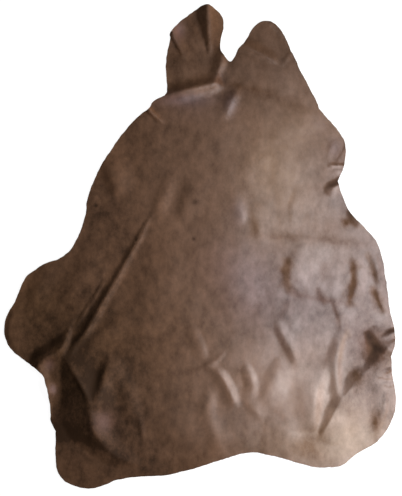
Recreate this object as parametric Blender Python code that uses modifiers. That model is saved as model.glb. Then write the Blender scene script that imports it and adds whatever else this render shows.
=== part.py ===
"""Leather hide: one small dressed skin lying loosely on a flat surface.

The skin is one sheet of leather of even thickness. Its outline is a chain of named stretches, and its
height over the surface is the sum of named folds and soft rises, each with a crest line drawn along the
sheet and two flanks that run out to it. Where no fold lifts it, the sheet lies flat at z = 0.

Frame: +Y towards the neck, +X to the right seen from above, +Z up, origin on the surface under the middle
of the sheet's box. Tables are in millimetres, and the model is in metres.
"""
import math
from collections import namedtuple

import bpy
import numpy as np
from mathutils import Vector
from mathutils.geometry import delaunay_2d_cdt

NAME = "leather_hide"
MM = 0.001
THICKNESS = 1.2            # soft dressed leather, even all over
SETTLED = 0.5              # the lowest part of every rise, which the leather's own weight presses flat
OUTLINE_STEP = 15.0        # longest edge along the cut edge
FLAT_STEP = 24.0           # spacing of the sheet's points where it lies flat or nearly so
RAISED_STEP = 11.5         # and where it is raised into folds
RAISED = 1.7               # height over the surface from which the finer spacing holds
CREST_STEP = 13.0          # spacing of points along a fold's crest
ROW_GAP = 6.0              # least distance between points of two folds, and from the cut edge
CROWDED = 0.6              # nearer to a placed point than this share of the spacing, a point is left out
JOIN = 2.5                 # how sharply two folds meet: a sum at 1, the higher one alone when large

# The cut edge, clockwise from the root of the left neck lobe: x, y. Each stretch is one smooth curve
# that ends at the next one's first point, and stretches meet at a corner.
OUTLINE = {
    "left neck lobe, outer side": ((-73, 321), (-68, 333), (-71, 375), (-68, 415)),
    "left neck lobe, crown": ((-61, 443), (-62, 453), (-52, 468), (-18, 495), (13, 513), (33, 504),
                              (49, 487), (51, 464), (45, 439), (45, 419)),
    "notch and right neck lobe": ((55, 403), (64, 394), (73, 400), (83, 420), (95, 432), (109, 457),
                                  (126, 474), (143, 480), (159, 474), (178, 453), (194, 418), (221, 362),
                                  (244, 318)),
    "right shoulder": ((254, 293), (275, 270), (295, 246), (310, 218), (310, 188), (305, 165)),
    "right flank": ((294, 140), (301, 116), (317, 78), (344, 47), (371, 18), (386, -14), (397, -75),
                    (405, -135), (414, -177), (415, -205)),
    "right hind corner": ((407, -233), (409, -265), (417, -313), (416, -347), (404, -379), (379, -413),
                          (338, -438), (312, -459), (292, -468)),
    "hind edge": ((264, -470), (228, -465), (177, -450), (122, -438), (83, -442), (39, -456), (-14, -472),
                  (-73, -486), (-144, -490)),
    "left hind corner": ((-182, -497), (-207, -509), (-233, -514), (-262, -510), (-288, -496), (-302, -475),
                         (-306, -447)),
    "left flank": ((-305, -392), (-316, -373), (-316, -354), (-319, -326), (-328, -286), (-339, -267),
                   (-370, -243), (-396, -222), (-411, -197), (-415, -173), (-409, -146), (-390, -112)),
    "left waist": ((-377, -79), (-361, -58), (-326, -36), (-295, -24), (-272, -4), (-252, 34), (-242, 69),
                   (-238, 97), (-231, 124), (-216, 159)),
    "left shoulder": ((-199, 189), (-174, 225), (-150, 256), (-122, 283), (-108, 292), (-97, 309)),
}

# A fold: how its flank to the left and to the right of the crest runs out (kind, width at the crest line's
# start, width at its end where that differs), and the crest line itself: x, y, height over the surface.
# A plane flank falls evenly and is as wide as its crest is high; the other kinds differ in how pinched
# their crest is.
Fold = namedtuple("Fold", "left right crest")
CREST_PINCH = {"soft": 0.0, "firm": 0.3, "pinched": 0.5, "sharp": 0.8}

# Folds that meet merge into one crest.
FOLDS = {
    "left lobe ridge": Fold(("plane", 28), ("firm", 26),
                            ((21, 401, 0), (20, 439, 5.5), (18, 481, 11), (17, 515, 13.5))),
    "left lobe pleat": Fold(("sharp", 6), ("firm", 26, 14),
                            ((-30, 394, 0), (-42, 421, 4), (-57, 450, 6.2), (-60, 473, 7))),
    "notch ridge": Fold(("pinched", 22), ("pinched", 12),
                        ((31, 345, 5), (40, 373, 5), (48, 394, 5), (49, 413, 4), (39, 430, 1))),
    "neck crease": Fold(("pinched", 20), ("firm", 21),
                        ((-92, 313, 2), (-71, 321, 5), (-41, 329, 8.8), (1, 340, 9.4), (31, 348, 7.5),
                         (48, 354, 0))),
    "throat ridge": Fold(("firm", 20), ("soft", 16),
                         ((50, 266, 0), (58, 290, 2.4), (68, 313, 3.4), (78, 330, 2.2), (82, 345, 0))),
    "right lobe crease": Fold(("firm", 20), ("pinched", 9),
                              ((72, 434, 1.5), (101, 422, 3.2), (120, 414, 3.2), (146, 401, 2.6),
                               (170, 385, 0))),
    "shoulder nick": Fold(("pinched", 8), ("pinched", 8),
                          ((-78, 262, 0), (-92, 276, 2.6), (-103, 287, 4.6), (-112, 296, 5))),
    "long crease": Fold(("pinched", 17, 8), ("pinched", 14, 10),
                        ((-279, -237, 2), (-264, -209, 4.6), (-246, -188, 5.4), (-226, -156, 5.4),
                         (-203, -114, 5), (-173, -63, 3.8), (-152, -24, 3.1), (-126, 22, 2.6),
                         (-114, 46, 1.6), (-97, 75, 0))),
    "waist crest": Fold(("plane", 31), ("pinched", 30, 8),
                        ((-360, -275, 5.5), (-343, -254, 7.5), (-326, -237, 8.5), (-307, -229, 8.5),
                         (-292, -215, 8), (-282, -194, 5.5), (-274, -167, 0))),
    "flank rim": Fold(("plane", 14), ("plane", 24),
                      ((-309, -390, 0), (-318, -352, 2), (-322, -328, 3.5), (-324, -305, 7),
                       (-330, -279, 4.5), (-339, -262, 7))),
    "belly": Fold(("plane", 86, 64), ("firm", 24, 56),
                  ((-118, -468, 0), (-146, -458, 2.6), (-172, -448, 3.8), (-194, -432, 5),
                   (-212, -410, 6.6), (-226, -388, 9), (-230, -370, 11), (-232, -350, 12),
                   (-241, -318, 11), (-258, -286, 8), (-275, -256, 5), (-290, -231, 2.5))),
    "right flank rib": Fold(("soft", 16), ("soft", 22),
                            ((326, -135, 0), (336, -97, 1.3), (339, -63, 1.8), (335, -31, 1.5),
                             (324, 5, 0))),
    "right rim tuck": Fold(("firm", 12), ("firm", 14),
                           ((402, -160, 0), (394, -132, 1.9), (383, -107, 1.7), (370, -84, 0))),
    "loin ridge": Fold(("soft", 18), ("firm", 20),
                       ((218, -268, 0), (201, -226, 1.8), (184, -196, 2), (172, -172, 1.4),
                        (163, -145, 0))),
    "rump curl": Fold(("firm", 22), ("firm", 16),
                      ((82, -345, 0), (71, -324, 2.4), (60, -298, 3.4), (45, -274, 3), (27, -261, 1.2),
                       (7, -256, 0))),
    "tongue": Fold(("soft", 24), ("pinched", 12),
                   ((301, -322, 2.2), (295, -294, 3), (292, -252, 3.6), (296, -222, 3.2), (303, -197, 2),
                    (312, -170, 0))),
    "flap crest": Fold(("plane", 38), ("firm", 84),
                       ((332, -293, 0), (345, -277, 2.2), (356, -265, 3.2), (366, -254, 4),
                        (378, -240, 5.2), (394, -222, 7), (409, -206, 8))),
    "lower flap crest": Fold(("plane", 30), ("firm", 60),
                             ((251, -411, 0.4), (266, -390, 2.2), (279, -368, 3.6), (299, -333, 4),
                              (320, -305, 4), (337, -284, 4.6), (350, -270, 3.8), (362, -257, 0))),
    "flap pocket": Fold(("firm", 22), ("firm", 24),
                        ((420, -226, 9), (398, -214, 7.5), (384, -201, 5.5), (373, -182, 3.6),
                         (367, -165, 0))),
    "right edge pleat": Fold(("firm", 13), ("firm", 22),
                             ((264, 114, 0), (282, 124, 4.6), (301, 133, 6))),
    "right edge curl": Fold(("pinched", 9), ("firm", 14),
                            ((373, -203, 0), (396, -190, 4.5), (420, -180, 6.5))),
}

# Soft rises add to what is there.
RISES = {
    "left lobe base": Fold(("soft", 34), ("soft", 34),
                           ((-3, 341, 0), (-24, 371, 2.6), (-37, 396, 2.4), (-39, 426, 0))),
    "left edge dip": Fold(("soft", 22), ("soft", 44),
                          ((-167, 103, 0), (-177, 131, 4), (-188, 158, 4.6), (-199, 194, 0))),
    "shoulder lens": Fold(("soft", 20), ("soft", 25),
                          ((-97, 52, 0), (-84, 86, 2), (-70, 124, 1.8), (-50, 171, 0))),
    "lobe dome": Fold(("soft", 26), ("soft", 32),
                      ((-352, -135, 0), (-347, -101, 2.4), (-333, -71, 2.6), (-309, -35, 0))),
    "lobe rim": Fold(("soft", 9), ("soft", 54),
                     ((-377, -235, 0), (-401, -194, 2), (-401, -160, 2), (-384, -114, 0))),
    "lobe neck": Fold(("soft", 36), ("soft", 30),
                      ((-301, -126, 0), (-267, -82, 2.4), (-237, -37, 2.4), (-216, 14, 0))),
    "belly lip": Fold(("pinched", 6), ("pinched", 8),
                      ((-225, -345, 0), (-238, -318, 1.2), (-252, -292, 1.6), (-266, -268, 1.4),
                       (-282, -240, 0))),
    "belly horn": Fold(("soft", 18), ("soft", 26),
                       ((-214, -424, 0), (-220, -398, 2.4), (-226, -376, 2), (-228, -350, 0))),
    "belly rib": Fold(("firm", 17), ("soft", 36),
                      ((-222, -350, 0), (-216, -328, 4.2), (-208, -302, 6.4), (-201, -275, 6.2),
                       (-194, -250, 4), (-186, -226, 0))),
    "belly swell": Fold(("soft", 22), ("soft", 30),
                        ((-134, -390, 0), (-146, -350, 2), (-156, -312, 2.2), (-168, -275, 1.8),
                         (-175, -235, 0))),
    "belly shelf": Fold(("soft", 24), ("soft", 26),
                        ((-254, -222, 0), (-218, -192, 2.4), (-190, -177, 2.8), (-165, -160, 2.2),
                         (-131, -139, 0))),
    "back swell": Fold(("soft", 20), ("soft", 46),
                       ((199, -116, 0), (195, -84, 1.1), (194, -52, 1.4), (205, -22, 1), (226, 18, 0))),
    "hind swell": Fold(("soft", 28), ("soft", 50),
                       ((125, -345, 0), (142, -316, 1.6), (158, -285, 1.8), (172, -255, 1.4),
                        (184, -220, 0))),
    "rump ridge": Fold(("soft", 22), ("soft", 24),
                       ((50, -440, 0), (28, -392, 1.3), (17, -355, 1.5), (19, -322, 1.3),
                        (35, -280, 0))),
    "valley bank": Fold(("soft", 70), ("firm", 17),
                        ((248, -400, 0), (246, -374, 2.4), (245, -339, 4.2), (250, -301, 4),
                         (262, -271, 2.4), (279, -224, 0))),
    "flap streak": Fold(("soft", 18), ("soft", 16),
                        ((358, -437, 0), (371, -398, 1), (387, -356, 1.2), (396, -318, 0))),
    "back rise": Fold(("soft", 90), ("soft", 120),
                      ((31, 320, 0), (56, 205, 2.6), (73, 78, 3), (69, -50, 2.4), (44, -177, 0))),
    "side rise": Fold(("soft", 60), ("soft", 60),
                      ((-105, -211, 0), (-105, -135, 1.8), (-84, -50, 2), (-58, 31, 0))),
    "hind rise": Fold(("soft", 60), ("soft", 50),
                      ((-105, -411, 0), (-50, -390, 2), (14, -403, 2.4), (86, -403, 2), (146, -411, 0))),
}


def clear_scene():
    for obj in list(bpy.data.objects):
        bpy.data.objects.remove(obj, do_unlink=True)


def smooth_curve(points, step):
    """Points at most `step` apart on a smooth curve through the given points (any number of columns)."""
    points = np.array(points, float)
    ends = np.vstack([2 * points[0] - points[1], points, 2 * points[-1] - points[-2]])
    curve = []
    for before, start, stop, after in zip(ends, ends[1:], ends[2:], ends[3:]):
        pieces = max(1, math.ceil(np.hypot(*(stop - start)[:2]) / step))
        for piece in range(pieces):
            t = piece / pieces
            curve.append(0.5 * (2 * start + (stop - before) * t
                                + (2 * before - 5 * start + 4 * stop - after) * t ** 2
                                + (3 * start - before - 3 * stop + after) * t ** 3))
    return np.array(curve + [points[-1]])


def cut_edge():
    """The closed outline: one smooth curve for each stretch, end to end."""
    stretches = list(OUTLINE.values())
    loop = [smooth_curve(stretch + following[:1], OUTLINE_STEP)[:-1]
            for stretch, following in zip(stretches, stretches[1:] + stretches[:1])]
    return np.vstack(loop)


def nearest_on_line(line, xy):
    """For each point: distance to the line, the line's height and run (0 to 1) there, and the side."""
    lengths = np.hypot(*np.diff(line[:, :2], axis=0).T)
    run = np.concatenate([[0], np.cumsum(lengths)]) / lengths.sum()
    distance = np.full(len(xy), np.inf)
    height, along, side = np.zeros(len(xy)), np.zeros(len(xy)), np.zeros(len(xy))
    for index, length in enumerate(lengths):
        start, way = line[index, :2], line[index + 1, :2] - line[index, :2]
        t = np.clip(((xy - start) @ way) / length ** 2, 0, 1)
        off = xy - start - t[:, None] * way
        away = np.hypot(*off.T)
        closer = away < distance
        distance[closer] = away[closer]
        height[closer] = (line[index, 2] + t * (line[index + 1, 2] - line[index, 2]))[closer]
        along[closer] = (run[index] + t * (run[index + 1] - run[index]))[closer]
        side[closer] = (way[0] * off[:, 1] - way[1] * off[:, 0])[closer]
    return distance, height, along, side


def flank_height(flank, distance, crest, along):
    """Height of one flank at a distance from its crest line."""
    reach, steep, toe = 2.2, 1.8, 0.05
    kind, width = flank[0], flank[1] + (flank[-1] - flank[1]) * along
    if kind == "plane":
        width = width * np.maximum(crest, 0.01) / crest.max()
        left = np.clip(1 - distance / width, 0, None)
        return crest * (1 + toe) * left ** 2 / (left + toe)
    t = np.minimum(distance / width, reach)
    ridge = (np.exp(-steep * t) - math.exp(-steep * reach)) / (1 - math.exp(-steep * reach))
    bell = (np.exp(-steep * t ** 2) - math.exp(-steep * reach ** 2)) / (1 - math.exp(-steep * reach ** 2))
    return crest * (CREST_PINCH[kind] * ridge + (1 - CREST_PINCH[kind]) * bell)


def fold_height(fold, xy):
    line = smooth_curve(fold.crest, 4.0)
    line[:, 2] = np.clip(line[:, 2], 0, None)
    distance, crest, along, side = nearest_on_line(line, xy)
    left = flank_height(fold.left, distance, crest, along)
    right = flank_height(fold.right, distance, crest, along)
    return np.where(side > 0, left, right)


def sheet_height(xy):
    """Height of the sheet's underside over the surface it lies on."""
    merged = sum(fold_height(fold, xy) ** JOIN for fold in FOLDS.values()) ** (1 / JOIN)
    raised = merged + sum(fold_height(rise, xy) for rise in RISES.values())
    return np.maximum(raised - SETTLED, 0)


def inside(loop, xy, margin):
    """True for each point inside the loop and at least `margin` from it."""
    closed = np.vstack([loop, loop[:1]])
    line = np.column_stack([closed, np.zeros(len(closed))])
    crossings = np.zeros(len(xy), int)
    for (x0, y0), (x1, y1) in zip(closed[:-1], closed[1:]):
        if y0 == y1:
            continue
        spans = (xy[:, 1] > min(y0, y1)) & (xy[:, 1] <= max(y0, y1))
        crossings += spans & (xy[:, 0] < x0 + (xy[:, 1] - y0) * (x1 - x0) / (y1 - y0))
    return (crossings % 2 == 1) & (nearest_on_line(line, xy)[0] >= margin)


def crest_rows(fold):
    """Rows of points along a fold: its crest, and a line along each narrow flank."""
    crest = smooth_curve(fold.crest, CREST_STEP)[:, :2]
    way = np.gradient(crest, axis=0)
    normal = np.column_stack([-way[:, 1], way[:, 0]]) / np.hypot(*way.T)[:, None]
    rows = [crest]
    for flank, sign in ((fold.left, 1), (fold.right, -1)):
        width = np.linspace(flank[1], flank[-1], len(crest))
        if width.max() < 1.5 * FLAT_STEP:
            rows.append(crest + sign * normal * width[:, None])
    return rows


def lattice(loop, step):
    """Points of a triangular lattice inside the loop."""
    low, high = loop.min(axis=0), loop.max(axis=0)
    rows = np.arange(low[1], high[1], step * math.sqrt(3) / 2)
    places = np.array([(x + step / 2 * (number % 2), y)
                       for number, y in enumerate(rows) for x in np.arange(low[0], high[0], step)])
    return places[inside(loop, places, 0.45 * step)]


def is_clear(points, place, gap):
    return np.hypot(*(np.array(points) - place).T).min() >= gap


def sheet_points(loop):
    """All points of the sheet in plan, and the edges that must stay: the cut edge and the crests."""
    points = [tuple(place) for place in loop]
    edges = [(start, (start + 1) % len(loop)) for start in range(len(loop))]
    for fold in FOLDS.values():
        for number, row in enumerate(crest_rows(fold)):
            last = None
            for place, well_inside in zip(row, inside(loop, row, ROW_GAP)):
                if not (well_inside and is_clear(points, place, ROW_GAP)):
                    last = None
                    continue
                points.append(tuple(place))
                if number == 0 and last is not None:
                    edges.append((last, len(points) - 1))
                last = len(points) - 1
    for step, raised in ((RAISED_STEP, True), (FLAT_STEP, False)):
        places = lattice(loop, step)
        for place in places[(sheet_height(places) >= RAISED) == raised]:
            if is_clear(points, place, CROWDED * step):
                points.append(tuple(place))
    return points, edges


def leather_material():
    material = bpy.data.materials.new("brown leather")
    material.use_nodes = True
    shader = material.node_tree.nodes["Principled BSDF"]
    shader.inputs["Base Color"].default_value = (0.135, 0.083, 0.052, 1)
    shader.inputs["Roughness"].default_value = 0.5
    shader.inputs["Metallic"].default_value = 0.0
    return material


def build_hide(collection):
    """The sheet's underside as an open surface, and a Solidify that gives the leather its thickness."""
    loop = cut_edge()
    middle = (loop.min(axis=0) + loop.max(axis=0)) / 2
    points, edges = sheet_points(loop)
    triangulated = delaunay_2d_cdt([Vector(place) for place in points], edges, [], 1, 1e-4)
    xy, triangles = np.array([tuple(place) for place in triangulated[0]]), triangulated[2]
    corners = np.column_stack([xy - middle, sheet_height(xy)]) * MM
    mesh = bpy.data.meshes.new(NAME)
    mesh.from_pydata(corners.tolist(), [], triangles)
    if sum(polygon.normal.z for polygon in mesh.polygons) < 0:
        mesh.flip_normals()
    mesh.shade_smooth()
    mesh.materials.append(leather_material())
    hide = bpy.data.objects.new(NAME, mesh)
    collection.objects.link(hide)
    leather = hide.modifiers.new("leather thickness", "SOLIDIFY")
    leather.thickness = THICKNESS * MM
    leather.offset = 1
    leather.use_even_offset = True
    print(NAME, len(xy), "points and", len(triangles), "triangles in the sheet")


def main():
    clear_scene()
    collection = bpy.data.collections.new(NAME)
    bpy.context.scene.collection.children.link(collection)
    build_hide(collection)


main()
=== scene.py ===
# %% [markdown]
# # A leather hide, laid out on a table
#
# A dressed hide is one sheet of leather with the outline of the animal's skin: a wide belly and hind
# end, a waist behind each foreleg, and two lobes at the neck. The top is the grain side, smooth and a
# little glossy, and the underside is the flesh side, which has a fine matt nap.
#
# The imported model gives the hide's place, its size and its thickness. This lesson lays a much finer
# sheet in the same place, with every crease that the hide took while it lay folded, and then gives the
# leather its colour, its mottling and its grain.

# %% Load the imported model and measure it
import math
from collections import namedtuple

import bpy
import numpy as np
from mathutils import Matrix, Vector, kdtree, noise
from mathutils.geometry import delaunay_2d_cdt


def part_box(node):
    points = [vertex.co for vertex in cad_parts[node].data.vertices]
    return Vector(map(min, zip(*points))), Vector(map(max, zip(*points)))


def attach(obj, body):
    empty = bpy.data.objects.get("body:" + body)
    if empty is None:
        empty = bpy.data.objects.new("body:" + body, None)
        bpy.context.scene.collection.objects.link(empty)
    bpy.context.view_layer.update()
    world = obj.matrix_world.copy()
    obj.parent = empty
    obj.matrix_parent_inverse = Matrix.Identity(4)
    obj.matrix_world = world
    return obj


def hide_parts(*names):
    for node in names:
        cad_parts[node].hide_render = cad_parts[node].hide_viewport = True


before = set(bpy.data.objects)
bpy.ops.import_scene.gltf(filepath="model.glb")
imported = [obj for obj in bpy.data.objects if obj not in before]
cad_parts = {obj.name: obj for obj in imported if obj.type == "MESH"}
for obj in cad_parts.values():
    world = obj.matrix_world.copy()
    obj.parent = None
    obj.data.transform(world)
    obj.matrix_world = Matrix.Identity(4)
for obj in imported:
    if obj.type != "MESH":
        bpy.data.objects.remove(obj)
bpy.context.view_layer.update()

NODE = "leather_hide"
LOW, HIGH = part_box(NODE)
MIDDLE = (Vector(LOW) + Vector(HIGH)) / 2
MM = 0.001
THICKNESS = 1.2
print("the hide is", [round(side / MM) for side in Vector(HIGH) - Vector(LOW)], "mm")

# %% [markdown]
# ## Camera, floor and light
#
# A flat thing is shown best from straight above, and from far off with a long lens, so that its outline
# keeps its true proportions. The light decides how much the folds show, so each lamp has one task. The
# raking lamp, low at the right, gives each fold a bright and a dark side, and a weak fill lamp softens
# the dark ones. Both are left out of reflections. The other three are there only to be reflected: the
# sheen lamp puts a cool satin sheen on the right side, the warm lamp brightens the hind corner, and the
# wide lamp leaves a trace of gloss everywhere.

# %% Camera straight above, up towards the neck
VIEW_HEIGHT = 1.054
CAMERA_UP = 4.0
VIEW_AT = (0.0019, -0.0027)

camera_data = bpy.data.cameras.new("camera above")
camera_data.sensor_width = 36
camera_data.lens = camera_data.sensor_width * CAMERA_UP / VIEW_HEIGHT
camera = bpy.data.objects.new("camera above", camera_data)
camera.location = (MIDDLE.x + VIEW_AT[0], MIDDLE.y + VIEW_AT[1], CAMERA_UP)
bpy.context.scene.collection.objects.link(camera)
bpy.context.scene.camera = camera
bpy.context.scene.view_settings.view_transform = "Standard"
print("lens", round(camera_data.lens), "mm")

# %% Lamps: metres, watts, colour, and whether the lamp is only reflected or never reflected
Lamp = namedtuple("Lamp", "place aim size watts colour reflected")
LAMPS = {
    "raking lamp": Lamp((1.64, -0.44, 0.67), (0.1, 0, 0), 0.6, 94, (1, 1, 1), False),
    "sheen lamp": Lamp((0.73, -0.28, 1.2), (0.73, -0.28, 0), 1, 21.5, (0.88, 0.93, 1), True),
    "fill lamp": Lamp((0.25, 0.5, 0.9), (0.25, 0.5, 0), 0.8, 3, (1, 1, 1), False),
    "warm lamp": Lamp((0.45, -0.48, 0.5), (0.45, -0.48, 0), 0.42, 1.7, (1, 0.93, 0.82), True),
    "wide lamp": Lamp((0.05, -0.05, 1.3), (0.05, -0.05, 0), 1.2, 2.8, (1, 0.97, 0.95), True),
}


def soft_lamp(name, place, aim, size, watts, colour, reflected):
    """A square area lamp at `place` that faces `aim`."""
    light = bpy.data.lights.new(name, "AREA")
    light.size = size
    light.energy = watts
    light.color = colour
    lamp = bpy.data.objects.new(name, light)
    lamp.location = place
    lamp.rotation_euler = (Vector(aim) - Vector(place)).to_track_quat("-Z", "Y").to_euler()
    lamp.visible_camera = False
    lamp.visible_glossy = reflected
    lamp.visible_diffuse = not reflected
    bpy.context.scene.collection.objects.link(lamp)


for name, lamp in LAMPS.items():
    soft_lamp(name, *lamp)
world = bpy.data.worlds.new("dim room")
world.use_nodes = True
world.node_tree.nodes["Background"].inputs["Color"].default_value = (1, 1, 1, 1)
world.node_tree.nodes["Background"].inputs["Strength"].default_value = 0.02
bpy.context.scene.world = world
print("lamps:", ", ".join(LAMPS))

# %% A pale floor that stays even
FLOOR_SIDE = 12
FLOOR_GAP = 0.0002                         # keeps the floor clear of the sheet's lowest parts


def plain_material(name, colour, roughness):
    material = bpy.data.materials.new(name)
    material.use_nodes = True
    shader = material.node_tree.nodes["Principled BSDF"]
    shader.inputs["Base Color"].default_value = (*colour, 1)
    shader.inputs["Roughness"].default_value = roughness
    return material, shader


floor_material, floor_shader = plain_material("pale floor", (0.16, 0.16, 0.16), 0.9)
floor_shader.inputs["Specular IOR Level"].default_value = 0
floor_shader.inputs["Emission Color"].default_value = (1, 1, 1, 1)
floor_shader.inputs["Emission Strength"].default_value = 0.96
bpy.ops.mesh.primitive_plane_add(size=FLOOR_SIDE, location=(0, 0, LOW[2] - FLOOR_GAP))
floor = bpy.context.object
floor.name = "floor"
floor.data.materials.append(floor_material)
print("the floor is", FLOOR_SIDE, "m wide")

# %% [markdown]
# ## The cut edge
#
# A skin's outline has no straight line in it, but it does have corners: the notch between the neck lobes, the
# nick behind the shoulder, the points where a leg was. So it is drawn as a chain of smooth curves, each
# through a few given places, and the curves meet at corners. The places are in millimetres from the middle of
# the skin.

# %% The outline's stretches: x, y, clockwise from the root of the left neck lobe
OUTLINE = {
    "left neck lobe, outer side": ((-73, 321), (-68, 333), (-71, 375), (-68, 415)),
    "left neck lobe, crown": (
        (-61, 443), (-62, 453), (-52, 468), (-18, 495), (13, 513), (33, 504), (49, 487), (51, 464),
        (45, 439), (45, 419)),
    "notch and right neck lobe": (
        (55, 403), (64, 394), (73, 400), (83, 420), (95, 432), (109, 457), (126, 474), (143, 480),
        (159, 474), (178, 453), (194, 418), (221, 362), (244, 318)),
    "right shoulder": ((254, 293), (275, 270), (295, 246), (310, 218), (310, 188), (305, 165)),
    "right flank": (
        (294, 140), (301, 116), (317, 78), (344, 47), (371, 18), (386, -14), (397, -75), (405, -135),
        (414, -177), (415, -205)),
    "right hind corner": (
        (407, -233), (409, -265), (417, -313), (416, -347), (404, -379), (379, -413), (338, -438),
        (312, -459), (292, -468)),
    "hind edge": (
        (264, -470), (228, -465), (177, -450), (122, -438), (83, -442), (39, -456), (-14, -472),
        (-73, -486), (-144, -490)),
    "left hind corner": (
        (-182, -497), (-207, -509), (-233, -514), (-262, -510), (-288, -496), (-302, -475), (-306, -447)),
    "left flank": (
        (-305, -392), (-316, -373), (-316, -354), (-319, -326), (-328, -286), (-339, -267), (-370, -243),
        (-396, -222), (-411, -197), (-415, -173), (-409, -146), (-390, -112)),
    "left waist": (
        (-377, -79), (-361, -58), (-326, -36), (-295, -24), (-272, -4), (-252, 34), (-242, 69), (-238, 97),
        (-231, 124), (-216, 159)),
    "left shoulder": ((-199, 189), (-174, 225), (-150, 256), (-122, 283), (-108, 292), (-97, 309)),
}

# %% Smooth curves through the places


def smooth_curve(points, step):
    """Points at most `step` apart on a smooth curve through the given points (any number of columns)."""
    points = np.array(points, float)
    ends = np.vstack([2 * points[0] - points[1], points, 2 * points[-1] - points[-2]])
    curve = []
    for before, start, stop, after in zip(ends, ends[1:], ends[2:], ends[3:]):
        pieces = max(1, math.ceil(np.hypot(*(stop - start)[:2]) / step))
        for piece in range(pieces):
            t = piece / pieces
            curve.append(0.5 * (2 * start + (stop - before) * t
                                + (2 * before - 5 * start + 4 * stop - after) * t ** 2
                                + (3 * start - before - 3 * stop + after) * t ** 3))
    return np.array(curve + [points[-1]])


EDGE_STEP = 3.0                            # longest side of the cut edge, as a polygon
stretches = list(OUTLINE.values())
cut_edge = np.vstack([smooth_curve(stretch + following[:1], EDGE_STEP)[:-1]
                      for stretch, following in zip(stretches, stretches[1:] + stretches[:1])])
WOBBLES = ((26, 1.3), (9, 0.9))            # distance between wobbles, and how far the knife strayed
STRAY_ROWS = (3.1, 8.7)                    # rows of the noise that say how far, in x and in y
for length, stray in WOBBLES:
    cut_edge += [[stray * noise.noise(Vector((x / length, y / length, row))) for row in STRAY_ROWS]
                 for x, y in cut_edge]
skin_middle = (cut_edge.min(axis=0) + cut_edge.max(axis=0)) / 2
print("the cut edge has", len(cut_edge), "points")

# %% [markdown]
# ## The folds
#
# Leather keeps the folds that it was stored in. Seen from above each one is a crest line, and the leather
# falls away from it on both sides, often steeply on one and slowly on the other. So a fold is a row of
# this table: how its left and its right side fall, and the crest line with its height. A side is a kind
# and a width in millimetres, or two widths where the fold narrows from its start to its end. A plane side
# falls evenly to its foot, and the others are bell shapes, from soft to sharp at the crest.
#
# The main folds merge into one crest where they meet. Two more tables of the same kind are added on top:
# soft rises, which are swells or the traces of old folds, and thin wrinkles, pinched a few millimetres
# wide. Cloth simulation would make folds too, but not these ones in these places, so each has its row.

# %% Folds that merge into one crest where they meet: x, y, height
Fold = namedtuple("Fold", "left right crest")
CREST_PINCH = {"soft": 0.0, "firm": 0.3, "pinched": 0.5, "sharp": 0.8}

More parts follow.
